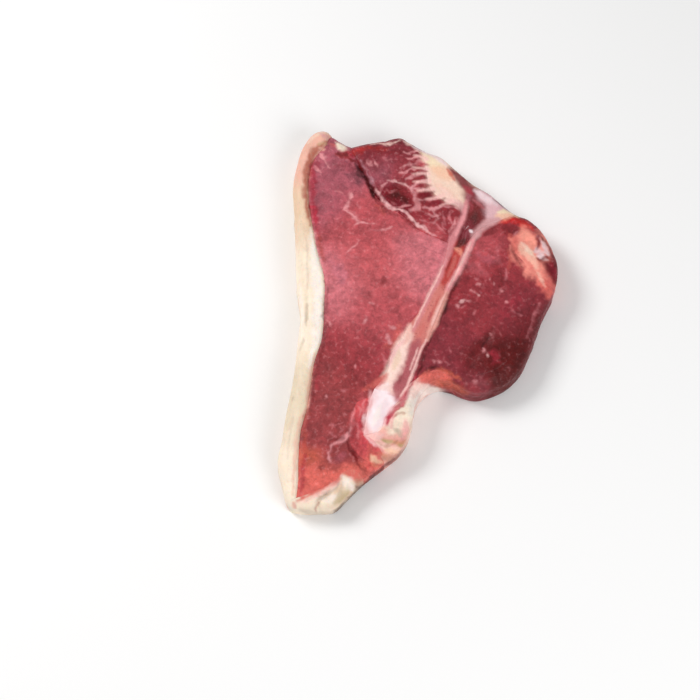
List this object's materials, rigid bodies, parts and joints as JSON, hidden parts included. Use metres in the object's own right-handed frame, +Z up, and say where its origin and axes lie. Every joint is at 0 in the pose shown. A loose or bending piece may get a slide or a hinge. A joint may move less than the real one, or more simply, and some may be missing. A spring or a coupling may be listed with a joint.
{
  "type": "raw t-bone beef steak",
  "caption": "Raw T-bone beef steak lying flat: strip loin and tenderloin on either side of the sawn bone, with a cap of back fat and a thin flank tail.",
  "frame": {"origin": "middle of the bounding box in plan, on the flat sawn face that the steak lies on", "axes": "+Z up through the thickness, +Y along the steak from the flank tail to the back fat's top, +X from the back fat towards the tenderloin"},
  "size_m": [0.152, 0.2239, 0.0237],
  "materials": {
    "strip_loin_meat": "satin",
    "marbled_meat": "satin",
    "tenderloin_meat": "satin",
    "flank_meat": "satin",
    "back_fat": "satin",
    "tail_fat": "satin",
    "flank_fat": "satin",
    "kidney_fat": "satin",
    "bone": "satin",
    "gristle": "gloss"
  },
  "bodies": {
    "root": {"strip_loin": "strip_loin_meat", "marbled_muscle": "marbled_meat", "tenderloin": "tenderloin_meat", "flank_muscle": "flank_meat", "back_fat": "back_fat", "tail_fat": "tail_fat", "flank_fat": "flank_fat", "kidney_fat": "kidney_fat", "t_bone": "bone", "gristle_tip": "gristle"}
  },
  "joints": []
}
